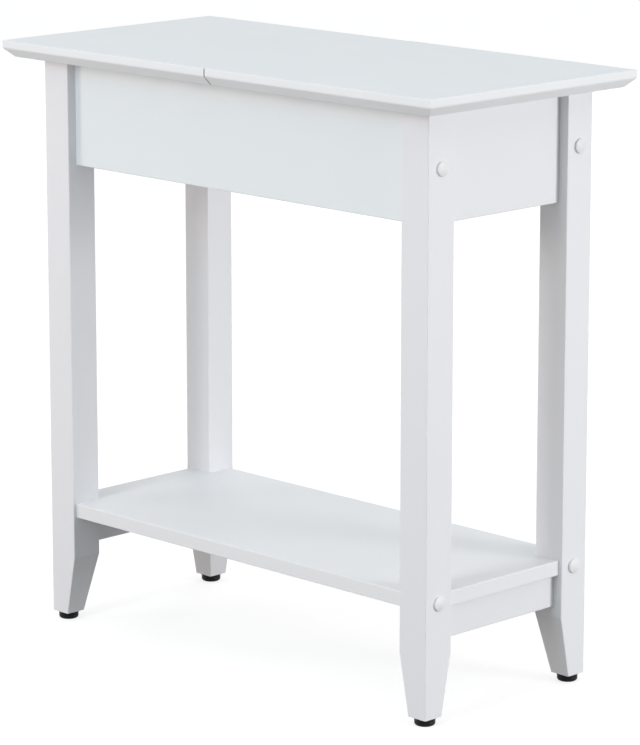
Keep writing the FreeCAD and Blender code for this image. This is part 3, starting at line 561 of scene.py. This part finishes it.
def set_copies(model, finish, node_name, body, places):
    """Puts a copy of the model, with its own mesh, at each (place, turn), and removes the model."""
    pick(model)
    bpy.ops.object.shade_smooth_by_angle(angle=SMOOTH_ANGLE)
    model.data.materials.clear()
    model.data.materials.append(MATERIALS[finish])
    for number, (place, turn) in enumerate(places, 1):
        pick(model)
        bpy.ops.object.duplicate()
        piece = bpy.context.object
        piece.name = f"{model.name}_{number}"
        driven_home = Matrix.Rotation(number * SCREW_TURN, 4, "Z")
        piece.matrix_world = Matrix.Translation(place) @ turn @ driven_home
        bpy.ops.object.transform_apply(location=True, rotation=True, scale=True)
        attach(piece, body)
        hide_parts(node_name)
    remove(model)


# Turns that bring the shank, which is modelled down, to its direction on the table
SHANK_UP = Matrix.Rotation(math.pi, 4, "X")
SHANK_LEFT = Matrix.Rotation(math.pi / 2, 4, "Y")
SHANK_RIGHT = Matrix.Rotation(-math.pi / 2, 4, "Y")

SIDES = (-1, 1)
# The hinges' middles
HINGE_Y = 0.055
# Screw of 3.5 mm that most pieces have; its length is given where it is used
CHIPBOARD_SCREW = {"shank": 0.0035, "head": 0.007, "height": 0.0021, "pitch": 0.0013}

# Hinge cups, under the lid
CUP_SCREW_X = 0.0273
CUP_SCREW_OFFSET = 0.024
CUP_SCREW_SEAT = 0.592
CUP_SCREWS = [
    ((CUP_SCREW_X, hinge * HINGE_Y + side * CUP_SCREW_OFFSET, CUP_SCREW_SEAT), SHANK_UP)
    for hinge in SIDES
    for side in SIDES
]
set_copies(
    pan_screw("hinge_cup_screw", length=0.013, **CHIPBOARD_SCREW),
    "nickel", "hinge_cup_screws", "lid", CUP_SCREWS,
)

# Mounting plates, on the divider
PLATE_SCREW_SEAT_X = 0.0095
PLATE_SCREW_OFFSET = 0.016
PLATE_SCREW_HEIGHT = 0.556
PLATE_SCREWS = [
    ((PLATE_SCREW_SEAT_X, hinge * HINGE_Y + side * PLATE_SCREW_OFFSET, PLATE_SCREW_HEIGHT), SHANK_LEFT)
    for hinge in SIDES
    for side in SIDES
]
set_copies(
    pan_screw("hinge_plate_screw", length=0.013, **CHIPBOARD_SCREW),
    "nickel", "hinge_plate_screws", "frame", PLATE_SCREWS,
)

# Adjusting screws of the hinge arms
ARM_SCREW_SEAT_X = 0.0167
ARM_SCREW_HEIGHTS = (0.554, 0.541)
ARM_SCREWS = [
    ((ARM_SCREW_SEAT_X, hinge * HINGE_Y, height), SHANK_LEFT)
    for hinge in SIDES
    for height in ARM_SCREW_HEIGHTS
]
set_copies(
    pan_screw("hinge_arm_screw", shank=0.004, head=0.007, height=0.0024, length=0.0055, pitch=0.0007),
    "nickel", "hinge_arm_screws", "frame", ARM_SCREWS,
)

# Up through the cleats into the fixed half of the top
TOP_SCREW_X = (-0.2075, -0.1375, -0.0675)
TOP_SCREW_Y = 0.081
TOP_SCREW_SEAT = 0.5777
TOP_SCREWS = [((x, side * TOP_SCREW_Y, TOP_SCREW_SEAT), SHANK_UP) for x in TOP_SCREW_X for side in SIDES]
set_copies(
    pan_screw("top_screw", length=0.026, **CHIPBOARD_SCREW),
    "zinc", "top_screws", "frame", TOP_SCREWS,
)

# Up through the bottom panel into the aprons
BOTTOM_SCREW_X = (-0.19, -0.19 / 3, 0.19 / 3, 0.19)
BOTTOM_SCREW_Y = 0.092
BOTTOM_END_SCREW_X = 0.248
BOTTOM_SCREW_FACE = 0.4837
BOTTOM_SCREWS = [
    ((x, side * BOTTOM_SCREW_Y, BOTTOM_SCREW_FACE), SHANK_UP) for x in BOTTOM_SCREW_X for side in SIDES
]
BOTTOM_SCREWS += [((side * BOTTOM_END_SCREW_X, 0, BOTTOM_SCREW_FACE), SHANK_UP) for side in SIDES]
set_copies(
    countersunk_screw("bottom_screw", shank=0.003, head=0.006, length=0.016, pitch=0.0011),
    "zinc", "bottom_screws", "frame", BOTTOM_SCREWS,
)

# Through the legs into the barrel nuts of the aprons and of the shelf
BOLT_SEAT_X = 0.264
BOLT_Y = 0.096
BOLT_HEIGHTS = (0.5382, 0.121)
CONNECTOR_BOLTS = [
    ((bolt_end * BOLT_SEAT_X, side * BOLT_Y, height), turn)
    for bolt_end, turn in ((1, SHANK_LEFT), (-1, SHANK_RIGHT))
    for side in SIDES
    for height in BOLT_HEIGHTS
]
set_copies(
    socket_bolt(
        "connector_bolt", shank=0.006, head=0.011, height=0.003, length=0.06, threaded=0.022, pitch=0.001,
        key=0.0023, key_depth=0.0021,
    ),
    "zinc", "connector_bolts", "frame", CONNECTOR_BOLTS,
)


# Glides: a flange under the foot, a groove, a rounded pad, and a stepped hole for the nail

GLIDE_STEPS = 64
GLIDE_X = 0.2585
GLIDE_Y = 0.1025
GLIDE_OUTLINE = [
    (0.00165, 0.008), (0.0098, 0.008), (0.0103, 0.0078), (0.0105, 0.0073), (0.0105, 0.0058),
    (0.0103, 0.0054), (0.0099, 0.0052), (0.0098, 0.0049), (0.0100, 0.0046), (0.0102, 0.0042),
    (0.0102, 0.0024), (0.0099, 0.0014), (0.0092, 0.0006), (0.0083, 0.0001), (0.0076, 0.0),
    (0.0041, 0.0), (0.00365, 0.0004), (0.00365, 0.004), (0.00165, 0.004), (0.00165, 0.008),
]
GLIDES = [((end * GLIDE_X, side * GLIDE_Y, 0), Matrix.Identity(4)) for end in SIDES for side in SIDES]
set_copies(
    turned("glide", GLIDE_OUTLINE, GLIDE_STEPS), "glide", "glides", "frame", GLIDES,
)


# Floor, lights and camera

FLOOR_SIZE = 60
FLOOR_MATTE = (0.335, 0.327, 0.315, 1)
FLOOR_GLOW = (0.983, 0.99, 1, 1)
FLOOR_GLOW_STRENGTH = 0.777

SKY_COLOUR = (0.965, 0.992, 1, 1)
SKY_STRENGTH = 0.85
# Heights of the sky's direction at which daylight starts and is full; nought is level, one overhead
SKY_LOW = 0.1
SKY_HIGH = 0.7

LAMPS_AIM = Vector((0, 0, 0.3))
# Name, place, size, watts, colour, and whether gloss shows it
LAMPS = [
    ("right_soft_box", (3.8, 1.5, 0.8), 1.2, 96.5, (1, 0.985, 0.987), True),
    ("front_soft_box", (0.0, -3.7, 1.5), 1.2, 52, (1, 0.905, 0.89), False),
    ("upper_soft_box", (0.3, -3.0, 2.2), 1.0, 17.5, (0.495, 0.829, 1), False),
    ("left_soft_box", (-2.6, -3.1, 0.8), 1.2, 30, (1, 0.869, 0.791), True),
    ("ceiling_soft_box", (0, 0, 4.0), 2.4, 4.5, (0.6, 0.8, 1), True),
    ("rear_soft_box", (-2.2, 3.6, 1.2), 1.2, 26, (1, 1, 1), False),
]

# Angles in radians, lens and sensor in millimetres
CAMERA_PLACE = (2.5932, -2.5630, 1.0949)
CAMERA_YAW = 0.7887
CAMERA_PITCH = 0.2178
CAMERA_LENS = 179.3
CAMERA_SENSOR = 36


def seen_directly(tree):
    """One for the camera and for rays from gloss or clear pieces, nought for light."""
    path = tree.nodes.new("ShaderNodeLightPath").outputs
    seen = path["Is Camera Ray"]
    for ray in ("Is Glossy Ray", "Is Transmission Ray"):
        seen = node(tree, "ShaderNodeMath", {0: seen, 1: path[ray]}, operation="MAXIMUM").outputs["Value"]
    return seen


def light_or_sight(tree, for_light, for_sight):
    """Mixes two shader nodes: one for what lights the table, one for what is seen directly."""
    shaders = {0: seen_directly(tree), 1: for_light.outputs[0], 2: for_sight.outputs[0]}
    return node(tree, "ShaderNodeMixShader", shaders).outputs["Shader"]


def make_floor():
    """Large pale floor that keeps a soft shadow of the table."""
    bpy.ops.object.select_all(action="DESELECT")
    bpy.ops.mesh.primitive_plane_add(size=FLOOR_SIZE)
    floor = bpy.context.object
    floor.name = "floor"
    material = bpy.data.materials.new("pale_floor")
    material.use_nodes = True
    tree = material.node_tree
    tree.nodes.clear()
    matte = node(tree, "ShaderNodeBsdfDiffuse", Color=FLOOR_MATTE).outputs["BSDF"]
    glow = node(tree, "ShaderNodeEmission", Color=FLOOR_GLOW, Strength=FLOOR_GLOW_STRENGTH)
    dark = node(tree, "ShaderNodeEmission", Strength=0)
    both = node(tree, "ShaderNodeAddShader", {0: matte, 1: light_or_sight(tree, dark, glow)})
    node(tree, "ShaderNodeOutputMaterial", {"Surface": both.outputs["Shader"]})
    floor.data.materials.append(material)


def make_world():
    """Soft daylight, stronger overhead; the camera and reflections see white."""
    world = bpy.data.worlds.new("studio")
    bpy.context.scene.world = world
    world.use_nodes = True
    tree = world.node_tree
    tree.nodes.clear()
    direction = tree.nodes.new("ShaderNodeTexCoord").outputs["Generated"]
    height = node(tree, "ShaderNodeSeparateXYZ", {"Vector": direction}).outputs["Z"]
    strength = spread(tree, height, 0.0, SKY_STRENGTH, SKY_LOW, SKY_HIGH)
    fill = node(tree, "ShaderNodeBackground", {"Strength": strength}, Color=SKY_COLOUR)
    white = node(tree, "ShaderNodeBackground", Color=(1, 1, 1, 1), Strength=1.0)
    node(tree, "ShaderNodeOutputWorld", {"Surface": light_or_sight(tree, fill, white)})


def make_lamp(name, place, size, watts, colour, mirrored):
    """Square soft box that points at the table. Gloss shows it only where mirrored."""
    lamp = bpy.data.lights.new(name, "AREA")
    lamp.size = size
    lamp.energy = watts
    lamp.color = colour
    stand = bpy.data.objects.new(name, lamp)
    bpy.context.scene.collection.objects.link(stand)
    stand.visible_glossy = mirrored
    stand.location = place
    stand.rotation_euler = (LAMPS_AIM - Vector(place)).to_track_quat("-Z", "Y").to_euler()


def make_camera():
    """Camera at the front right, a little above the top."""
    lens = bpy.data.cameras.new("camera")
    lens.sensor_width = CAMERA_SENSOR
    lens.lens = CAMERA_LENS
    camera = bpy.data.objects.new("camera", lens)
    bpy.context.scene.collection.objects.link(camera)
    turn = Matrix.Rotation(CAMERA_YAW, 4, "Z") @ Matrix.Rotation(math.pi / 2 - CAMERA_PITCH, 4, "X")
    camera.matrix_world = Matrix.Translation(CAMERA_PLACE) @ turn
    bpy.context.scene.camera = camera


make_floor()
make_world()
for lamp_row in LAMPS:
    make_lamp(*lamp_row)
make_camera()

bpy.context.scene.view_settings.view_transform = "Standard"
